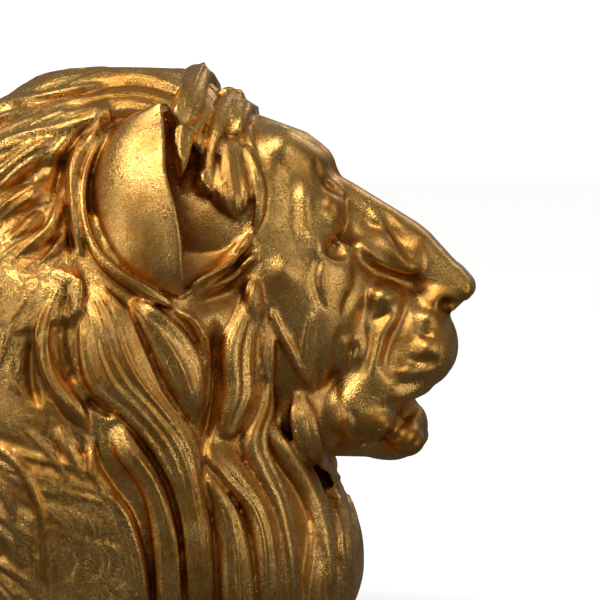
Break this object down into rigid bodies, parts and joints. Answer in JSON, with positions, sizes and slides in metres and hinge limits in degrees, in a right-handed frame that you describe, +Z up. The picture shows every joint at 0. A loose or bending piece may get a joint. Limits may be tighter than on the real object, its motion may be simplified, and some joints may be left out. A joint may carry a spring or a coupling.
{
  "type": "lion head bust",
  "caption": "Gilded cast bust of a male lion's head with a full mane and closed mouth, cut off flat below so that it stands by its own weight.",
  "frame": {"origin": "on the flat underside, below the middle of the neck", "axes": "+X the way the lion looks, +Y to its left, +Z up"},
  "size_m": [0.3442, 0.2472, 0.3493],
  "materials": {
    "antique_gold": "antique gold over a fine-grained casting, glossy on the raised parts, dark brown in the hollows"
  },
  "bodies": {
    "root": {"lion_bust": "antique_gold"}
  },
  "joints": []
}
